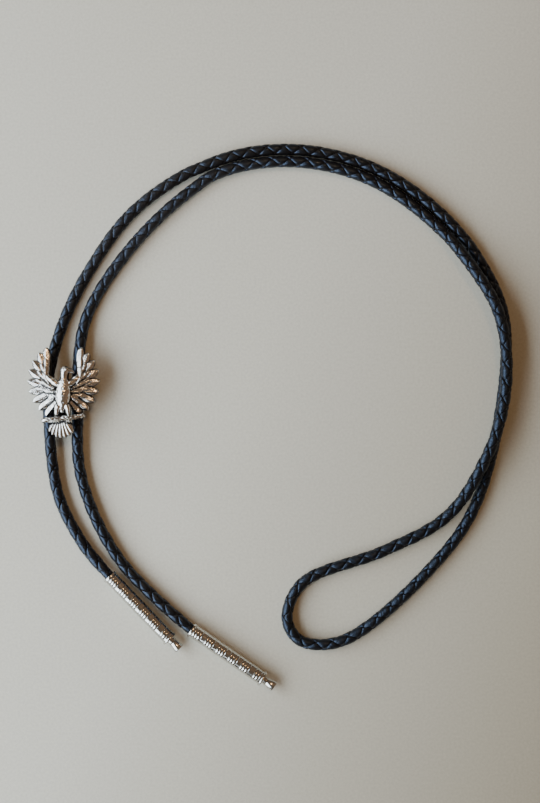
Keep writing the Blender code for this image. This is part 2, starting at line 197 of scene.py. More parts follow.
def smoothRoute(points, samples):
    # centripetal Catmull-Rom curve through the points, as the CAD lays its cord
    curve = []
    for i in range(len(points) - 1):
        p1, p2 = points[i], points[i + 1]
        p0 = points[i - 1] if i > 0 else 2 * p1 - p2
        p3 = points[i + 2] if i + 2 < len(points) else 2 * p2 - p1
        a, b, c = (math.sqrt((q - p).length) for p, q in ((p0, p1), (p1, p2), (p2, p3)))
        start = b * ((p1 - p0) / a - (p2 - p0) / (a + b) + (p2 - p1) / b)
        end = b * ((p2 - p1) / b - (p3 - p1) / (b + c) + (p3 - p2) / c)
        for k in range(samples):
            u = k / samples
            curve.append((2 * u**3 - 3 * u**2 + 1) * p1 + (u**3 - 2 * u**2 + u) * start
                         + (3 * u**2 - 2 * u**3) * p2 + (u**3 - u**2) * end)
    curve.append(points[-1])
    return np.array(curve)


def evenSteps(line, step):
    # the same line with points a step apart, never lower than where the cord lies
    line = line.copy()
    line[:, 2] = np.maximum(line[:, 2], cordSettings["diameter"] / 2)
    along = np.concatenate([[0], np.cumsum(np.linalg.norm(np.diff(line, axis=0), axis=1))])
    count = int(round(along[-1] / step))
    places = np.linspace(0, along[-1], count + 1)
    return places, np.stack([np.interp(places, along, line[:, k]) for k in range(3)], axis=1)


def closeStrands(line, settings):
    # the loop's two rounds lie against each other where they run side by side
    apart = np.linalg.norm(line[:, None] - line[None], axis=2)
    order = np.arange(len(line))
    apart[np.abs(order[:, None] - order[None]) < settings["nextRound"]] = 1.0
    nearest = apart.argmin(axis=1)
    gap = apart[order, nearest] - settings["diameter"]
    level = np.abs(line[:, 2] - line[nearest, 2]) < settings["diameter"] / 2
    share = np.clip((settings["drawn"] - gap) / (settings["drawn"] / 2), 0, 1)
    share = level * share * share * (3 - 2 * share)
    move = (share * gap / 2)[:, None] * (line[nearest] - line) / apart[order, nearest][:, None]
    window = np.ones(settings["eased"]) / settings["eased"]
    for axis in (0, 1):
        line[:, axis] += np.convolve(move[:, axis], window, "same")
    return line


def makeBraid(settings):
    # four flat laces, two each way round, that pass over and under one another
    route = [Vector(point) * mm for point in cordRoute]
    samples = settings["samples"]
    even, line = evenSteps(smoothRoute(route, samples), settings["turn"] / samples)
    line = closeStrands(line, settings)
    low, high = settings["raised"]
    line[:, 0] -= settings["leaning"] * np.clip((line[:, 2] - low) / (high - low), 0, 1)
    total = even[-1]
    for nudge, away in zip(settings["nudges"], (even, total - even)):
        line[:, :2] += np.clip(2 - 2 * away / settings["nudged"], 0, 1)[:, None] * nudge
    tangent = np.gradient(line, even, axis=0)
    tangent /= np.linalg.norm(tangent, axis=1)[:, None]
    side = np.cross(tangent, (0, 0, 1.0))
    side /= np.linalg.norm(side, axis=1)[:, None]
    upward = np.cross(side, tangent)

    def between(values, s):
        s = np.clip(s, 0, total)
        return np.stack([np.interp(s, even, values[:, k]) for k in range(3)], axis=-1)

    turn = 4 * total / round(4 * total / settings["turn"])
    places = np.linspace(0, total, int(total / turn * settings["stepsPerTurn"]) + 1)
    crossing = 8 * math.pi / turn
    places += settings["crowding"] / crossing * np.sin(crossing * places)
    middle = settings["middleRadius"] + settings["weave"]
    lean = math.atan(2 * math.pi * middle / turn)
    across = np.array([point[0] for point in laceOutline]) * settings["laceWidth"] / 2
    out = np.array([point[1] for point in laceOutline]) * settings["laceThickness"] / 2
    points = len(laceOutline)
    fromEnd = np.minimum(places, total - places)
    ease = np.clip((fromEnd - settings["insert"]) / settings["taper"], 0, 1)
    ease = ease * ease * (3 - 2 * ease)
    slim = settings["endShare"] + (1 - settings["endShare"]) * ease
    twist = settings["facing"] + settings["twist"] * np.sin(
        2 * math.pi * places / settings["twistLength"])
    turnAngle = 2 * math.pi * places / turn
    steepness = settings["steepness"]
    wave = np.tanh(steepness * np.cos(2 * turnAngle)) / math.tanh(steepness)

    vertices, faces, edgeShare, lacePlace = [], [], [], []
    for lace, (way, phase) in enumerate(((1, 0), (1, math.pi), (-1, 0), (-1, math.pi))):
        drift = settings["uneven"] * sum(
            np.sin(places / length + shift * lace)
            for length, shift in settings["wanders"]) / 2
        around = way * turnAngle + phase + twist + drift / middle
        radius = settings["middleRadius"] + way * settings["weave"] * wave
        length, shift = settings["dips"]
        radius -= settings["uneven"] * (1 - np.cos(places / length + shift * lace)) / 2
        s = places[:, None] - way * math.sin(lean) * across[None, :]
        theta = around[:, None] + math.cos(lean) * across[None, :] / middle
        r = (radius[:, None] + out[None, :]) * slim[:, None]
        ring = (between(line, s) + (r * np.cos(theta))[..., None] * between(side, s)
                + (r * np.sin(theta))[..., None] * between(upward, s))
        first = len(vertices)
        vertices.extend(ring.reshape(-1, 3).tolist())
        edgeShare.extend(np.tile(np.abs(across) / np.max(across), len(places)).tolist())
        for place in places:
            lacePlace.extend((width, place / math.cos(lean), lace * settings["laceApart"])
                             for width in across)
        for i in range(len(places) - 1):
            low = first + i * points
            for j in range(points):
                k = (j + 1) % points
                faces.append((low + j, low + k, low + points + k, low + points + j))
        faces.append(tuple(first + j for j in reversed(range(points))))
        faces.append(tuple(len(vertices) - points + j for j in range(points)))
    mesh = bpy.data.meshes.new("braid")
    mesh.from_pydata(vertices, [], faces)
    mesh.attributes.new("laceEdge", "FLOAT", "POINT").data.foreach_set("value", edgeShare)
    mesh.attributes.new("lacePlace", "FLOAT_VECTOR", "POINT").data.foreach_set(
        "vector", np.array(lacePlace).ravel())
    cord = bpy.data.objects.new("braid", mesh)
    bpy.context.scene.collection.objects.link(cord)
    pick(cord)
    bpy.ops.object.mode_set(mode="EDIT")
    leaveEditing()
    return cord, line, total


leatherSettings = {
    # the fourth colour is painted shade: the dye darkened where the loop lies away from the
    # window
    "dye": "#1a1612", "cutEdge": "#271e17", "worn": "#2a2622", "paintedFarShade": "#0c0a09",
    "blotch": "#b9b4b2", "blotchSize": 9 * mm,
    "grain": 0.55 * mm,           # real grain is about 0.2 mm, which wouldn't show here
    "grainWidth": 0.4,            # share of its length, as the lace was drawn out
    "grainDepth": 0.34 * mm,
    "grainStrength": 0.18, "rubbedStrength": 0.6,
    "roughness": (0.24, 0.42), "rubbedRoughness": 0.10,
    # where the collar and the hands rub it, in mm: from none to all across, from none to
    # all upwards, and how much of it. The hands' stretch also gets painted shade, a darker
    # dye where the loop lies away from the window.
    "collar": ((75, 30), (20, 45), 1.0),
    "handsAndFarShade": ((50, 100), (55, 25), 0.7),
    "ior": 1.58, "glossTint": "#b9d4ff"}


def waxedLeather(settings):
    # drawn and waxed cowhide lace, dyed black: a blue-black gloss on the flat of each
    # lace, a dull browner cut edge, and fine grain that is drawn out along it. The collar
    # rubs the wax off and hands roughen it, and on both the grain stands out. Where the
    # loop lies away from the window the dye is darkened as painted shade.
    material, tree, shader = newMaterial("waxedLeather")
    place = addNode(tree, "ShaderNodeTexCoord")
    edge = addNode(tree, "ShaderNodeAttribute", {"attribute_name": "laceEdge"})
    lace = addNode(tree, "ShaderNodeAttribute", {"attribute_name": "lacePlace"})
    drawn = addNode(tree, "ShaderNodeMapping", {"Scale": (1.0, settings["grainWidth"], 1.0)},
                    {"Vector": lace.outputs["Vector"]})
    grain = addNode(tree, "ShaderNodeTexNoise",
                    {"Scale": 1 / settings["grain"], "Detail": 4.0},
                    {"Vector": drawn.outputs["Vector"]})
    blotch = addNode(tree, "ShaderNodeTexNoise",
                     {"Scale": 1 / settings["blotchSize"], "Detail": 2.0},
                     {"Vector": place.outputs["Object"]})
    cutEdge = addNode(tree, "ShaderNodeMapRange", {"From Min": 0.86, "From Max": 0.99},
                      {"Value": edge.outputs["Fac"]})
    dye = addNode(tree, "ShaderNodeMix",
                  {"data_type": "RGBA", 6: hexColor(settings["dye"]),
                   7: hexColor(settings["cutEdge"])},
                  {"Factor": cutEdge.outputs[0]})
    split = addNode(tree, "ShaderNodeSeparateXYZ", {}, {"Vector": place.outputs["Object"]})

    def zone(xRange, yRange, share):
        sides = [addNode(tree, "ShaderNodeMapRange",
                         {"From Min": first * mm, "From Max": last * mm},
                         {"Value": split.outputs[axis]})
                 for axis, (first, last) in (("X", xRange), ("Y", yRange))]
        both = addNode(tree, "ShaderNodeMath", {"operation": "MULTIPLY"},
                       {0: sides[0].outputs[0], 1: sides[1].outputs[0]})
        return addNode(tree, "ShaderNodeMath", {"operation": "MULTIPLY", 1: share},
                       {0: both.outputs[0]})

    collar = zone(*settings["collar"])
    handsAndFarShade = zone(*settings["handsAndFarShade"])
    worn = addNode(tree, "ShaderNodeMix",
                   {"data_type": "RGBA", 7: hexColor(settings["worn"])},
                   {"Factor": collar.outputs[0], 6: dye.outputs[2]})
    # painted shade: darkens the dye over the hands' stretch, away from the window
    paintedFarShade = addNode(tree, "ShaderNodeMix",
                     {"data_type": "RGBA", 7: hexColor(settings["paintedFarShade"])},
                     {"Factor": handsAndFarShade.outputs[0], 6: worn.outputs[2]})
    uneven = addNode(tree, "ShaderNodeMix",
                     {"data_type": "RGBA", "blend_type": "MULTIPLY",
                      7: hexColor(settings["blotch"])},
                     {"Factor": blotch.outputs["Fac"], 6: paintedFarShade.outputs[2]})
    rubbed = addNode(tree, "ShaderNodeMath", {"operation": "ADD"},
                     {0: collar.outputs[0], 1: handsAndFarShade.outputs[0]})
    glossy, matt = settings["roughness"]
    gloss = addNode(tree, "ShaderNodeMapRange",
                    {"From Min": 0.3, "From Max": 0.7, "To Min": glossy, "To Max": matt},
                    {"Value": grain.outputs["Fac"]})
    dulled = addNode(tree, "ShaderNodeMath",
                     {"operation": "MULTIPLY_ADD", 1: settings["rubbedRoughness"]},
                     {0: rubbed.outputs[0], 2: gloss.outputs[0]})
    cracks = addNode(tree, "ShaderNodeMath",
                     {"operation": "MULTIPLY_ADD", 1: settings["rubbedStrength"],
                      2: settings["grainStrength"]}, {0: rubbed.outputs[0]})
    bump = addNode(tree, "ShaderNodeBump", {"Distance": settings["grainDepth"]},
                   {"Height": grain.outputs["Fac"], "Strength": cracks.outputs[0]})
    setShader(tree, shader,
              {"IOR": settings["ior"], "Specular Tint": hexColor(settings["glossTint"])},
              {"Base Color": uneven.outputs[2], "Roughness": dulled.outputs[0],
               "Normal": bump.outputs["Normal"]})
    return material


cord, cordLine, cordLength = makeBraid(cordSettings)
finishPiece(cord, "braidedCord", waxedLeather(leatherSettings),
            replaces="cord", smoothAngle=60)
print("cord is", round(cordLength, 4), "m long")


# Tips
tipSettings = {
    "length": 34.9 * mm, "bodyDiameter": 4.8 * mm,
    "mouthDiameter": 5.2 * mm, "mouthLength": 1.0 * mm,
    "flangeDiameter": 5.6 * mm, "flangeLength": 0.9 * mm,
    "neckDiameter": 2.8 * mm, "neckLength": 1.2 * mm,
    "nubDiameter": 3.7 * mm, "nubLength": 3.4 * mm, "nubFlare": 0.78,
    "boreDiameter": 3.9 * mm, "boreDepth": 8.6 * mm,
    "edge": 0.25 * mm, "groups": 6, "rings": 3, "ringPitch": 1.0 * mm,
    "grooveDepth": 0.19 * mm, "firstGroup": 2.75 * mm, "groupPitch": 4.95 * mm,
    "ringArc": (0, 25, 60, 90, 120, 155),   # degrees round a ring, from groove to groove
    "ringFullness": 0.7,          # less than 1 squares a ring's back
    "shoulder": 0.22,             # of a pitch, from a group to the plain band beside it
    "ringsEnd": 29 * mm, "plainPatina": 0.1, "sides": 64,
    # node, mouth, which has the cord's nudge on top of the CAD's place, and heading
    "places": {
        "leftTip": ("tip_left", (15.93 * mm, -62.34 * mm, 2.8 * mm), (0.693, -0.721)),
        "rightTip": ("tip_right", (44.06 * mm, -80.73 * mm, 2.8 * mm), (0.823, -0.568))}}


def tipProfile(settings):
    # (distance from the mouth, radius) along one side of the tip, from the bore's floor
    body = settings["bodyDiameter"] / 2
    mouth = settings["mouthDiameter"] / 2
    bore = settings["boreDiameter"] / 2
    edge = settings["edge"]
    groove = body - settings["grooveDepth"]
    pitch = settings["ringPitch"]
    profile = [(settings["boreDepth"], bore), (edge, bore), (0, bore + edge / 2),
               (0, mouth - edge), (edge * 0.3, mouth - edge * 0.3), (edge, mouth),
               (settings["mouthLength"] - edge, mouth), (settings["mouthLength"], body)]
    flangeEnd = settings["length"] - settings["nubLength"] - settings["neckLength"]
    flangeStart = flangeEnd - settings["flangeLength"]
    for group in range(settings["groups"]):
        middle = settings["firstGroup"] + settings["groupPitch"] * group
        rings = settings["rings"] if group < settings["groups"] - 1 else settings["rings"] - 1
        start = middle - pitch * rings / 2
        profile.append((start - pitch * settings["shoulder"], body))
        for ring in range(rings):
            for turn in settings["ringArc"]:
                share = (1 - math.cos(math.radians(turn))) / 2
                lift = math.sin(math.radians(turn)) ** settings["ringFullness"]
                profile.append((start + pitch * (ring + share),
                                groove + settings["grooveDepth"] * lift))
        profile.append((start + pitch * rings, groove))
        profile.append((start + pitch * (rings + settings["shoulder"]), body))
    flange = settings["flangeDiameter"] / 2
    neck = settings["neckDiameter"] / 2
    nub = settings["nubDiameter"] / 2
    flare = settings["nubFlare"]
    nubStart = flangeEnd + settings["neckLength"]
    profile += [(flangeStart, body), (flangeStart + edge * 0.4, flange - edge * 0.4),
                (flangeStart + edge, flange), (flangeEnd - edge, flange),
                (flangeEnd - edge * 0.4, flange - edge * 0.4),
                (flangeEnd, neck + edge), (flangeEnd + edge, neck), (nubStart - edge, neck),
                (nubStart, neck + edge), (nubStart + edge * 0.2, nub * flare - edge * 0.6),
                (nubStart + edge, nub * flare), (settings["length"] - 1.6 * edge, nub),
                (settings["length"] - 0.7 * edge, nub - 0.2 * edge),
                (settings["length"] - 0.2 * edge, nub - 0.8 * edge),
                (settings["length"], nub - 1.6 * edge)]
    return profile


def turnOnLathe(profile, sides):
    # a disc drawn out ring by ring along +Z, each ring resized to the profile
    deselectAll()
    height, radius = profile[0]
    bpy.ops.mesh.primitive_circle_add(vertices=sides, radius=radius, fill_type="NGON",
                                      location=(0, 0, 0))
    obj = bpy.context.object
    editAll()
    bpy.ops.transform.translate(value=(0, 0, height))
    for nextHeight, nextRadius in profile[1:]:
        bpy.ops.mesh.extrude_region_move(
            TRANSFORM_OT_translate={"value": (0, 0, nextHeight - height)})
        share = nextRadius / radius
        bpy.ops.transform.resize(value=(share, share, 1), center_override=(0, 0, nextHeight))
        height, radius = nextHeight, nextRadius
    bpy.ops.mesh.select_all(action="SELECT")
    bpy.ops.mesh.remove_doubles(threshold=0.001 * mm)
    bpy.ops.mesh.normals_make_consistent(inside=False)
    bpy.ops.object.mode_set(mode="OBJECT")
    return obj


silverSettings = {
    "patina": "#15151a",
    "patinaFrom": 0.38, "patinaTo": 0.78,     # depths of recess that it starts and fills at
    "patinaRoughness": 0.45,
    "smudge": 2.2 * mm, "smudgeSpread": 0.25,
    "roughnessSpread": (0.8, 1.35),
    "scratch": 0.5 * mm,          # real wheel marks are far finer, and wouldn't show here
    "scratchDepth": 0.03 * mm, "scratchStrength": 0.12}


def silverMaterial(name, base, roughness, patinaShare, settings):
    # bright silver that was dipped in liver of sulphur and polished back: mirror-like
    # high places with fine wheel marks, dull blue-black where the wheel didn't reach
    material, tree, shader = newMaterial(name)
    place = addNode(tree, "ShaderNodeTexCoord")
    recess = addNode(tree, "ShaderNodeAttribute", {"attribute_name": "recess"})
    smudge = addNode(tree, "ShaderNodeTexNoise",
                     {"Scale": 1 / settings["smudge"], "Detail": 5.0},
                     {"Vector": place.outputs["Object"]})
    scratch = addNode(tree, "ShaderNodeTexNoise",
                      {"Scale": 1 / settings["scratch"], "Detail": 6.0},
                      {"Vector": place.outputs["Object"]})
    spread = addNode(tree, "ShaderNodeMath",
                     {"operation": "MULTIPLY_ADD", 1: settings["smudgeSpread"],
                      2: -settings["smudgeSpread"] / 2}, {0: smudge.outputs["Fac"]})
    level = addNode(tree, "ShaderNodeMath", {"operation": "ADD"},
                    {0: recess.outputs["Fac"], 1: spread.outputs[0]})
    patina = addNode(tree, "ShaderNodeMapRange",
                     {"interpolation_type": "SMOOTHSTEP", "From Min": settings["patinaFrom"],
                      "From Max": settings["patinaTo"], "To Min": 0.0,
                      "To Max": patinaShare}, {"Value": level.outputs[0]})
    color = addNode(tree, "ShaderNodeMix",
                    {"data_type": "RGBA", 6: hexColor(base), 7: hexColor(settings["patina"])},
                    {"Factor": patina.outputs[0]})
    smooth, rough = settings["roughnessSpread"]
    polish = addNode(tree, "ShaderNodeMapRange",
                     {"From Min": 0.3, "From Max": 0.7, "To Min": roughness * smooth,
                      "To Max": roughness * rough}, {"Value": smudge.outputs["Fac"]})
    dull = addNode(tree, "ShaderNodeMath",
                   {"operation": "MULTIPLY_ADD", 1: settings["patinaRoughness"]},
                   {0: patina.outputs[0], 2: polish.outputs[0]})
    bump = addNode(tree, "ShaderNodeBump",
                   {"Strength": settings["scratchStrength"],
                    "Distance": settings["scratchDepth"]},
                   {"Height": scratch.outputs["Fac"]})
    setShader(tree, shader, {"Metallic": 1.0},
              {"Base Color": color.outputs[2], "Roughness": dull.outputs[0],
               "Normal": bump.outputs["Normal"]})
    return material


tipMaterial = silverMaterial("silverPlate", base="#d2d0ca", roughness=0.15,
                             patinaShare=0.5, settings=silverSettings)
tipMaster = turnOnLathe(tipProfile(tipSettings), tipSettings["sides"])
coordinates = np.array([v.co for v in tipMaster.data.vertices])
radii = np.linalg.norm(coordinates[:, :2], axis=1)
ringed = ((coordinates[:, 2] > tipSettings["mouthLength"])
          & (coordinates[:, 2] < tipSettings["ringsEnd"]))
grooves = np.clip((tipSettings["bodyDiameter"] / 2 - radii) / tipSettings["grooveDepth"], 0, 1)
tipMaster.data.attributes.new("recess", "FLOAT", "POINT").data.foreach_set(
    "value", np.where(ringed, grooves, tipSettings["plainPatina"]))
for tipName, (tipNode, tipMouth, tipAxis) in tipSettings["places"].items():
    tip = tipMaster.copy()
    tip.data = tipMaster.data.copy()
    bpy.context.scene.collection.objects.link(tip)
    tip.rotation_euler = (0, math.pi / 2, math.atan2(tipAxis[1], tipAxis[0]))
    tip.location = tipMouth
    applyPlace(tip)
    finishPiece(tip, tipName, tipMaterial, replaces=tipNode, smoothAngle=35)
bpy.data.objects.remove(tipMaster)


# Eagle. Its own frame has +Y up the figure and z = 0 at its flat back.
eagleSettings = {
    "place": (0.9 * mm, -0.2 * mm, 6.7 * mm),
    "body": 13.0 * mm, "wing": 9.9 * mm, "tail": 8.8 * mm, "head": 3.5 * mm,
    "beak": 2.2 * mm, "thigh": 4.2 * mm, "toe": 2.3 * mm, "branch": 15.5 * mm,
    "branchDiameter": 2.0 * mm, "relief": 5.0 * mm,
    "wingFan": (86, 140),         # the first feather's heading, and the sweep to the last
    "wingTuck": 0.14,             # of the wing, how deep its middle feathers are set
    "lastFeather": 0.26,          # of its length, how much shorter the last one is
    "tailFan": (-92, 30),         # the middle feather's heading, and the spread each way
    "wingTilt": 13, "tailTilt": 12, "tailFeathers": 7,
    "tailBlade": (0.27, 0.38, 0.10),    # width, ridge, and how much shorter the outer ones
    "barkGroove": 0.09 * mm, "barkKnot": 0.05 * mm,
    # pitch and depth of the small feathers
    "armScales": (0.9 * mm, 0.14 * mm), "trunkScales": (1.15 * mm, 0.22 * mm),
    "headScales": (0.75 * mm, 0.10 * mm), "legScales": (0.8 * mm, 0.14 * mm),
    "voxel": 0.105 * mm, "faceShare": 0.52}

# shares: along the body, sideways, half width, and height in the relief
bodySections = [
    (0.00, 0.035, 0.105, 0.84), (0.12, 0.030, 0.150, 0.90), (0.30, 0.020, 0.205, 0.97),
    (0.50, 0.005, 0.220, 1.00), (0.70, -0.010, 0.180, 0.92), (0.86, -0.025, 0.125, 0.74),
    (1.00, -0.040, 0.070, 0.55)]

# x, y, z, half width and half height, as shares like the CAD's
armStops = [(0.10, 0.26, 0.50, 0.13, 0.32), (0.25, 0.36, 0.46, 0.13, 0.30),
            (0.39, 0.47, 0.42, 0.11, 0.26), (0.45, 0.56, 0.38, 0.06, 0.18)]
headStops = [(0.00, -0.50, 0.42, 0.42, 0.42), (0.00, 0.00, 0.42, 0.40, 0.42),
             (0.05, 0.52, 0.48, 0.50, 0.44), (0.05, 0.80, 0.48, 0.40, 0.38),
             (0.05, 1.00, 0.48, 0.18, 0.20)]
beakStops = [(-0.47, 0.08, 0.53, 0.31, 0.30), (-0.03, 0.06, 0.53, 0.24, 0.24),
             (0.45, -0.04, 0.53, 0.16, 0.17), (0.68, -0.27, 0.53, 0.06, 0.10)]
legStops = [(0.00, 1.24, 0.55, 0.30, 0.34), (0.10, 0.65, 0.61, 0.26, 0.30),
            (0.18, 0.17, 0.66, 0.13, 0.20)]
toeStops = [(0.00, 0.00, 0.66, 0.20, 0.17), (0.21, -0.50, 0.69, 0.20, 0.15),
            (0.42, -1.00, 0.52, 0.08, 0.12)]
branchStops = [(-0.50, -0.060, 0.72), (-0.30, -0.020, 1.04), (-0.05, 0.000, 0.90),
               (0.15, 0.020, 1.06), (0.34, 0.035, 0.90), (0.50, 0.075, 0.66)]

# rows of a wing: how many feathers, their length and width as shares of the wing, and
# the height of their ridge in the relief
wingRows = [(9, 1.00, 0.285, 0.36), (8, 0.64, 0.225, 0.50), (6, 0.38, 0.220, 0.62)]

# stations of a feather: share of its length, of its width to each side, and of its height
featherStations = [(0.00, 0.30, 1.00), (0.40, 0.46, 0.98), (0.74, 0.50, 0.90),
                   (0.92, 0.34, 0.80), (1.00, 0.08, 0.72)]

featherSettings = {
    "along": 30, "across": 14, "barbPitch": 0.72 * mm, "barbDepth": 0.16 * mm,
    "barbSlant": 1.1, "shaftWidth": 0.2 * mm, "shaftHeight": 0.22 * mm,
    "camber": (0.28, 1.6),        # how far a blade drops to its edges, and how roundly
    "skirt": 1.2 * mm}


def pushOut(obj, height):
    # moves each vertex along its normal by what height gives for its place
    moves = [v.normal * height(v.co) for v in obj.data.vertices]
    for vertex, move in zip(obj.data.vertices, moves):
        vertex.co += move


def growLimb(stops, sides, smoothing):
    # a disc drawn out through stops of (x, y, z, half width, half height)
    deselectAll()
    centers = [Vector(stop[:3]) for stop in stops]
    headings = []
    for i in range(len(stops)):
        ahead = centers[min(i + 1, len(stops) - 1)] - centers[max(i - 1, 0)]
        headings.append(math.atan2(ahead.y, ahead.x))
    bpy.ops.mesh.primitive_circle_add(vertices=sides, radius=1, fill_type="NGON",
                                      location=(0, 0, 0), rotation=(math.pi / 2, 0, 0))
    limb = bpy.context.object
    bpy.ops.object.transform_apply(rotation=True)
    editAll()
    bpy.ops.transform.resize(value=(stops[0][3], 1, stops[0][4]))
    bpy.ops.transform.rotate(value=-(headings[0] - math.pi / 2), orient_axis="Z",
                             center_override=(0, 0, 0))
    bpy.ops.transform.translate(value=centers[0])
    for i in range(1, len(stops)):
        bpy.ops.mesh.extrude_region_move(
            TRANSFORM_OT_translate={"value": centers[i] - centers[i - 1]})
        wide = stops[i][3] / stops[i - 1][3]
        high = stops[i][4] / stops[i - 1][4]
        bpy.ops.transform.resize(value=(wide, wide, high), center_override=centers[i])
        bpy.ops.transform.rotate(value=-(headings[i] - headings[i - 1]), orient_axis="Z",
                                 center_override=centers[i])
    leaveEditing()
    if smoothing:
        applyModifier(limb, "SUBSURF", {"levels": smoothing, "render_levels": smoothing})
    return limb


def scaledStops(table, origin, xSize, ySize, widthSize):
    relief = eagleSettings["relief"]
    return [(origin[0] + x * xSize, origin[1] + y * ySize, z * relief,
             abs(wide * widthSize), high * relief) for x, y, z, wide, high in table]


def makeFeather(settings, length, width, ridge):
    # a blade with a raised shaft and slanting barbs, on a skirt that goes below the back
    deselectAll()
    bpy.ops.mesh.primitive_grid_add(x_subdivisions=settings["along"],
                                    y_subdivisions=settings["across"], size=1,
                                    location=(0, 0, 0))
    feather = bpy.context.object
    feather.name = "feather"
    shares = [station[0] for station in featherStations]
    halfWidths = [station[1] for station in featherStations]
    heights = [station[2] for station in featherStations]
    barbDepth, shaftWidth = settings["barbDepth"], settings["shaftWidth"]
    drop, roundness = settings["camber"]
    for vertex in feather.data.vertices:
        a = vertex.co.x + 0.5
        c = vertex.co.y * 2
        y = c * width * float(np.interp(a, shares, halfWidths))
        x = a * length
        top = ridge * float(np.interp(a, shares, heights))
        crown = 1 - drop * abs(c) ** roundness
        slanted = x - settings["barbSlant"] * abs(y)
        barbs = math.sin(2 * math.pi * slanted / settings["barbPitch"])
        fade = min(1, abs(y) / (1.5 * shaftWidth)) * min(1, (1 - a) * 5)
        shaft = settings["shaftHeight"] * math.exp(-(y / shaftWidth) ** 2) * (1 - a) ** 0.4
        vertex.co = (x, y, top * crown + barbDepth * barbs * fade * 0.5 + shaft)
    bpy.ops.object.mode_set(mode="EDIT")
    bpy.ops.mesh.select_all(action="DESELECT")
    bpy.ops.mesh.select_non_manifold()
    bpy.ops.mesh.extrude_region_move(
        TRANSFORM_OT_translate={"value": (0, 0, -ridge)})
    bpy.ops.transform.resize(
        value=(1, 1, 0), center_override=(0, 0, -0.2 * ridge - settings["skirt"]))
    bpy.ops.mesh.edge_face_add()
    leaveEditing()
    return feather


def placeFeather(master, root, heading, lengthShare, tilt):
    feather = master.copy()
    feather.data = master.data.copy()
    bpy.context.scene.collection.objects.link(feather)
    feather.location = root
    feather.rotation_euler = (tilt, 0, heading)
    feather.scale = (lengthShare, lengthShare ** 0.5, 1)
    return feather


def makeWings(settings):
    body, wing, relief = settings["body"], settings["wing"], settings["relief"]
    firstHeading, sweep = settings["wingFan"]
    pieces = []
    for count, length, width, height in wingRows:
        master = makeFeather(featherSettings, wing * length, wing * width, relief * height)
        for side in (-1, 1):
            wrist = Vector((side * 0.40 * body, 0.50 * body, 0))
            armpit = Vector((side * 0.15 * body, -0.08 * body, 0))
            for i in range(count):
                share = i / (count - 1)
                heading = math.radians(firstHeading - sweep * share)
                if side < 0:
                    heading = math.pi - heading
                tuck = wing * settings["wingTuck"] * math.sin(math.pi * share)
                forward = Vector((math.cos(heading), math.sin(heading), 0))
                root = wrist.lerp(armpit, share) - forward * tuck
                reach = wing * length * (1 - settings["lastFeather"] * share ** 1.6) + tuck
                pieces.append(placeFeather(master, root, heading, reach / (wing * length),
                                           math.radians(settings["wingTilt"] * side)))
        bpy.data.objects.remove(master)
    for side in (-1, 1):
        arm = growLimb(scaledStops(armStops, (0, 0), side * body, body, wing), 12, 2)
        pushOut(arm, lambda co: scales(co, *settings["armScales"]))
        pieces.append(arm)
    return pieces


def scales(co, pitch, depth):
    # small overlapping feathers: scalloped rows that drop at their lower edges
    row = co.y / pitch
    column = co.x / pitch + 0.5 * (math.floor(row) % 2)
    dip = 0.45 * (1 - abs(math.sin(math.pi * column)) ** 0.7)
    phase = (co.y / pitch + dip) % 1.0
    return depth * (0.5 - phase) if phase > 0.12 else depth * (phase / 0.12 - 0.5)


def makeBody(settings):
    body, relief, head = settings["body"], settings["relief"], settings["head"]
    stops = []
    for along, sideways, halfWidth, height in bodySections:
        stops.append((body * sideways, body * (0.5 - along), relief * height / 2,
                      body * halfWidth, relief * height / 2))
    trunk = growLimb(stops, 16, 3)
    pushOut(trunk, lambda co: scales(co, *settings["trunkScales"]))
    neck = (0.035 * body, body / 2)
    skull = growLimb(scaledStops(headStops, neck, head, head, head), 16, 3)
    pushOut(skull, lambda co: scales(co, *settings["headScales"]))
    front = (neck[0] + 0.55 * head, neck[1] + 0.52 * head)
    beak = growLimb(scaledStops(beakStops, front, settings["beak"], head, head), 12, 2)
    return [trunk, skull, beak, *makeFace(settings, neck)]


def makeFace(settings, neck):
    # eye under a brow ridge on the side of the head that is seen
    head, relief = settings["head"], settings["relief"]
    eye = Vector((neck[0] + 0.22 * head, neck[1] + 0.66 * head, 0.87 * relief))
    deselectAll()
    bpy.ops.mesh.primitive_uv_sphere_add(segments=16, ring_count=10, radius=0.11 * head,
                                         location=eye)
    eyeball = bpy.context.object
    applyPlace(eyeball)
    brow = growLimb([(eye.x - 0.16 * head, eye.y + 0.05 * head, eye.z - 0.03 * relief,
                      0.04 * head, 0.03 * relief),
                     (eye.x + 0.02 * head, eye.y + 0.14 * head, eye.z,
                      0.07 * head, 0.05 * relief),
                     (eye.x + 0.26 * head, eye.y + 0.06 * head, eye.z - 0.03 * relief,
                      0.05 * head, 0.04 * relief)], 10, 2)
    return [eyeball, brow]


def makeTail(settings):
    body, tail, relief = settings["body"], settings["tail"], settings["relief"]
    width, ridge, shorter = settings["tailBlade"]
    master = makeFeather(featherSettings, tail, width * tail, ridge * relief)
    root = Vector((-0.04 * body, -0.44 * body, 0))
    pieces = []
    count = settings["tailFeathers"]
    middleHeading, sweep = settings["tailFan"]
    for i in range(count):
        share = 2 * i / (count - 1) - 1
        pieces.append(placeFeather(master, root, math.radians(middleHeading + sweep * share),
                                   1 - shorter * share ** 2,
                                   math.radians(settings["tailTilt"])))
    bpy.data.objects.remove(master)
    return pieces


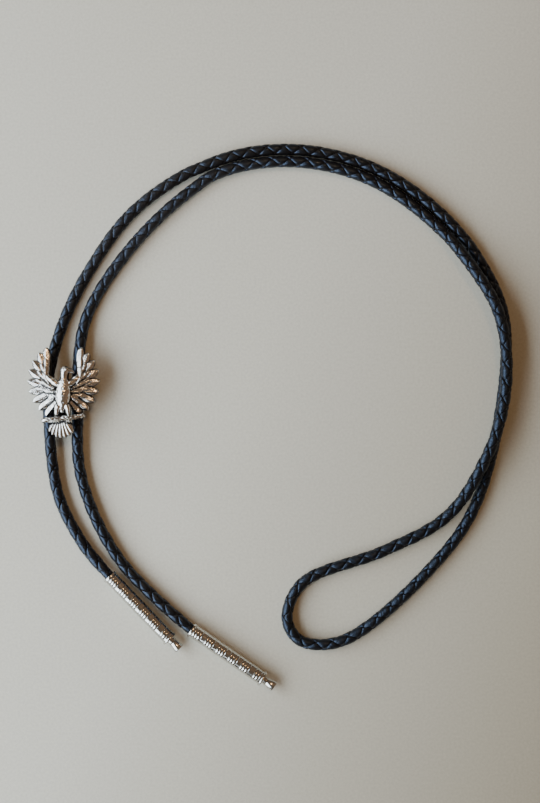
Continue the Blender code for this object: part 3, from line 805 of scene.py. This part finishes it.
def makePerch(settings):
    body, relief, branch = settings["body"], settings["relief"], settings["branch"]
    middle = -0.60 * body
    stops = [(branch * along, middle + branch * rise, 0.46 * relief,
              settings["branchDiameter"] / 2 * swell, 0.46 * relief * swell)
             for along, rise, swell in branchStops]
    perch = growLimb(stops, 16, 3)

    def bark(co):
        grain = math.sin(co.y * 9 / mm + 2.2 * math.sin(co.x * 1.1 / mm))
        knots = math.sin(co.x * 4.1 / mm + co.y * 5 / mm)
        return settings["barkGroove"] * grain + settings["barkKnot"] * knots

    pushOut(perch, bark)
    pieces = [perch]
    for side in (-1, 1):
        hip = side * 0.11 * body
        thigh = settings["thigh"]
        leg = growLimb(scaledStops(legStops, (hip, middle), side * thigh, thigh, thigh), 12, 3)
        pushOut(leg, lambda co: scales(co, *settings["legScales"]))
        pieces.append(leg)
        foot = (hip + side * legStops[-1][0] * thigh, middle + legStops[-1][1] * thigh)
        toe = settings["toe"]
        for spread in (-1, 0, 1):
            pieces.append(growLimb(scaledStops(toeStops, foot, spread * toe, toe, toe), 10, 2))
    return pieces


patinaSettings = {
    "cell": 0.14 * mm,
    "bare": 0.22,                 # share of patina that is left on even ground
    "margin": 14,                 # empty cells kept round the figure
    # reach in cells, passes, and the depth that holds all of its patina
    "wheels": [(2, 2, 0.26 * mm), (4, 3, 1.1 * mm)]}


def blurred(heights, filled, reach, passes):
    # mean height of the filled cells that lie within reach cells
    total, count = heights * filled, filled.astype(float)
    for _ in range(passes):
        for axis in (0, 1):
            total = sum(np.roll(total, shift, axis) for shift in range(-reach, reach + 1))
            count = sum(np.roll(count, shift, axis) for shift in range(-reach, reach + 1))
    return total / np.maximum(count, 1e-9)


def markRecesses(obj, settings):
    # what lies lower than its surroundings keeps its patina, as under a polishing wheel
    mesh = obj.data
    points = np.array([v.co for v in mesh.vertices])
    low = points.min(axis=0)
    margin = settings["margin"]
    index = ((points[:, :2] - low[:2]) / settings["cell"]).astype(int) + margin
    heights = np.zeros(index.max(axis=0) + margin + 1)
    np.maximum.at(heights, (index[:, 0], index[:, 1]), points[:, 2] - low[2])
    filled = heights > 0
    recess = np.full(len(points), settings["bare"])
    for reach, passes, depth in settings["wheels"]:
        around = blurred(heights, filled, reach, passes)
        recess += (around[index[:, 0], index[:, 1]] - (points[:, 2] - low[2])) / depth
    mesh.attributes.new("recess", "FLOAT", "POINT").data.foreach_set(
        "value", np.clip(recess, 0, 1))


def makeEagle(settings):
    pieces = makeBody(settings) + makeWings(settings) + makeTail(settings)
    pieces += makePerch(settings)
    for piece in pieces:
        applyPlace(piece)
    pick(*pieces)
    bpy.ops.object.join()
    eagle = bpy.context.object
    print("eagle joined from", len(pieces), "forms")
    applyModifier(eagle, "REMESH", {"mode": "VOXEL", "voxel_size": settings["voxel"]})
    pick(eagle)
    editAll()
    bpy.ops.mesh.bisect(plane_co=(0, 0, 0), plane_no=(0, 0, 1), clear_inner=True,
                        use_fill=True, threshold=0.001 * mm)
    bpy.ops.object.mode_set(mode="OBJECT")
    applyModifier(eagle, "SMOOTH", {"factor": 0.5, "iterations": 2})
    applyModifier(eagle, "DECIMATE", {"ratio": settings["faceShare"]})
    eagle.location = settings["place"]
    applyPlace(eagle)
    markRecesses(eagle, patinaSettings)
    return eagle


eagle = makeEagle(eagleSettings)
castSilver = silverMaterial("castSilver", base="#e6e4e0", roughness=0.15,
                            patinaShare=0.95, settings=silverSettings)
finishPiece(eagle, "eagle", castSilver, replaces="slide_figure",
            smoothAngle=50)


# Clip
clipSettings = {"wall": 0.8 * mm, "length": 9.0 * mm, "strand": 5.0 * mm, "fit": 0.3 * mm,
                "middle": 3.2 * mm, "sides": 72, "edge": 0.18 * mm}


def makeClip(settings):
    # a ring pulled apart into a long loop, drawn out into a band and given its wall
    deselectAll()
    radius = cordSettings["diameter"] / 2 + settings["fit"] + settings["wall"]
    bpy.ops.mesh.primitive_circle_add(vertices=settings["sides"], radius=radius,
                                      location=(0, 0, 0), rotation=(math.pi / 2, 0, 0))
    clip = bpy.context.object
    bpy.ops.object.transform_apply(rotation=True)
    for side in (-1, 1):
        for vertex in clip.data.vertices:
            vertex.select = vertex.co.x * side > 0.001 * mm
        bpy.ops.object.mode_set(mode="EDIT")
        bpy.ops.transform.translate(value=(side * settings["strand"], 0, 0))
        bpy.ops.mesh.select_all(action="DESELECT")
        bpy.ops.object.mode_set(mode="OBJECT")
    editAll()
    bpy.ops.transform.translate(value=(0, -settings["length"] / 2, settings["middle"]))
    bpy.ops.mesh.extrude_region_move(
        TRANSFORM_OT_translate={"value": (0, settings["length"], 0)})
    leaveEditing()
    applyModifier(clip, "SOLIDIFY", {"thickness": settings["wall"], "offset": -1.0})
    applyModifier(clip, "BEVEL", {"width": settings["edge"], "segments": 3,
                                  "limit_method": "ANGLE", "angle_limit": math.radians(50)})
    return clip


nickelSettings = {
    "lines": 0.12 * mm, "stretch": 0.04,      # drawing lines, and how far they are drawn out
    "colors": ("#b9b6ae", "#a39f95"), "roughness": (0.24, 0.4),
    "lineDepth": 0.02 * mm, "lineStrength": 0.15}


def nickelSteel(settings):
    # stamped spring steel, nickel plated: satin, a little yellow, drawn along its length
    material, tree, shader = newMaterial("nickelSteel")
    place = addNode(tree, "ShaderNodeTexCoord")
    drawn = addNode(tree, "ShaderNodeMapping", {"Scale": (1.0, settings["stretch"], 1.0)},
                    {"Vector": place.outputs["Object"]})
    lines = addNode(tree, "ShaderNodeTexNoise",
                    {"Scale": 1 / settings["lines"], "Detail": 3.0},
                    {"Vector": drawn.outputs["Vector"]})
    glossy, matt = settings["roughness"]
    satin = addNode(tree, "ShaderNodeMapRange",
                    {"From Min": 0.3, "From Max": 0.7, "To Min": glossy, "To Max": matt},
                    {"Value": lines.outputs["Fac"]})
    light, dark = settings["colors"]
    color = addNode(tree, "ShaderNodeMix",
                    {"data_type": "RGBA", 6: hexColor(light), 7: hexColor(dark)},
                    {"Factor": lines.outputs["Fac"]})
    bump = addNode(tree, "ShaderNodeBump",
                   {"Strength": settings["lineStrength"], "Distance": settings["lineDepth"]},
                   {"Height": lines.outputs["Fac"]})
    setShader(tree, shader, {"Metallic": 1.0},
              {"Base Color": color.outputs[2], "Roughness": satin.outputs[0],
               "Normal": bump.outputs["Normal"]})
    return material


finishPiece(makeClip(clipSettings), "clipBand", nickelSteel(nickelSettings),
            replaces="slide_clip", smoothAngle=40)


# Table top and light
tableSettings = {
    "size": 2.4,
    "speckle": 0.9 * mm,          # real speckle is about 0.3 mm, which wouldn't show here
    "colors": ("#cfcaba", "#ece8d9"), "roughness": 0.6, "specular": 0.3,
    # painted shade: a browner, darker stretch away from the window, standing in for the
    # light's falloff
    "falloffShade": "#c4bcae", "falloffShadeFrom": 60 * mm, "falloffShadeTo": 260 * mm,
    "falloffShadeSlope": -0.5}            # how far the stretch of painted shade is turned downwards


def paleLaminate(settings):
    # matt laminate table top: warm pale grey with a fine speckle, and painted shade, browner
    # and darker away from the window where less light falls
    material, tree, shader = newMaterial("paleLaminate")
    place = addNode(tree, "ShaderNodeTexCoord")
    speckle = addNode(tree, "ShaderNodeTexNoise",
                      {"Scale": 1 / settings["speckle"], "Detail": 3.0},
                      {"Vector": place.outputs["Object"]})
    dark, light = settings["colors"]
    color = addNode(tree, "ShaderNodeMix",
                    {"data_type": "RGBA", 6: hexColor(dark), 7: hexColor(light)},
                    {"Factor": speckle.outputs["Fac"]})
    split = addNode(tree, "ShaderNodeSeparateXYZ", {}, {"Vector": place.outputs["Object"]})
    away = addNode(tree, "ShaderNodeMath",
                   {"operation": "MULTIPLY_ADD", 1: settings["falloffShadeSlope"]},
                   {0: split.outputs["Y"], 2: split.outputs["X"]})
    # painted shade: grows with how far a place lies away from the window
    falloffShade = addNode(tree, "ShaderNodeMapRange",
                   {"From Min": settings["falloffShadeFrom"], "From Max": settings["falloffShadeTo"]},
                   {"Value": away.outputs[0]})
    brown = addNode(tree, "ShaderNodeMix",
                    {"data_type": "RGBA", "blend_type": "MULTIPLY",
                     7: hexColor(settings["falloffShade"])},
                    {"Factor": falloffShade.outputs[0], 6: color.outputs[2]})
    setShader(tree, shader, {"Roughness": settings["roughness"],
                             "Specular IOR Level": settings["specular"]},
              {"Base Color": brown.outputs[2]})
    return material


deselectAll()
bpy.ops.mesh.primitive_plane_add(size=tableSettings["size"], location=(0, 0, 0))
table = bpy.context.object
table.name = "table"
table.data.materials.append(paleLaminate(tableSettings))

lightSettings = {
    "window": {"place": (-0.46, -0.10, 0.36), "width": 1.10, "height": 0.50, "power": 11.6,
               "color": "#e4f1fc"},
    "lamp": {"place": (0.23, 0.486, 1.09), "width": 0.16, "height": 0.16, "power": 1.6,
             "color": "#ffcc94"}}
target = Vector((cameraSettings["x"], cameraSettings["y"], 0))
for lightName, settings in lightSettings.items():
    deselectAll()
    bpy.ops.object.light_add(type="AREA", location=settings["place"])
    light = bpy.context.object
    light.name = lightName
    light.data.shape = "RECTANGLE"
    light.data.size = settings["width"]
    light.data.size_y = settings["height"]
    light.data.energy = settings["power"]
    light.data.color = hexColor(settings["color"])[:3]
    toTarget = target - Vector(settings["place"])
    light.rotation_euler = toTarget.to_track_quat("-Z", "Y").to_euler()

# Room, from the window side to the far wall
roomSettings = {
    "strength": 1.0,
    "walls": [(0.0, "#5e5d5c"), (0.3, "#5f5a54"), (0.5, "#64574a"), (1.0, "#806650")]}
world = bpy.data.worlds.new("softRoom")
world.use_nodes = True
sky = world.node_tree
direction = addNode(sky, "ShaderNodeTexCoord")
split = addNode(sky, "ShaderNodeSeparateXYZ", {}, {"Vector": direction.outputs["Generated"]})
sweep = addNode(sky, "ShaderNodeMapRange", {"From Min": -1.0, "From Max": 1.0},
                {"Value": split.outputs["X"]})
tint = addNode(sky, "ShaderNodeValToRGB", {}, {"Fac": sweep.outputs[0]})
for step, (place, color) in enumerate(roomSettings["walls"]):
    stops = tint.color_ramp.elements
    stop = stops[step] if step < 2 else stops.new(place)
    stop.position = place
    stop.color = hexColor(color)
background = sky.nodes["Background"]
sky.links.new(tint.outputs["Color"], background.inputs["Color"])
background.inputs["Strength"].default_value = roomSettings["strength"]
bpy.context.scene.world = world
print("table and lights set")
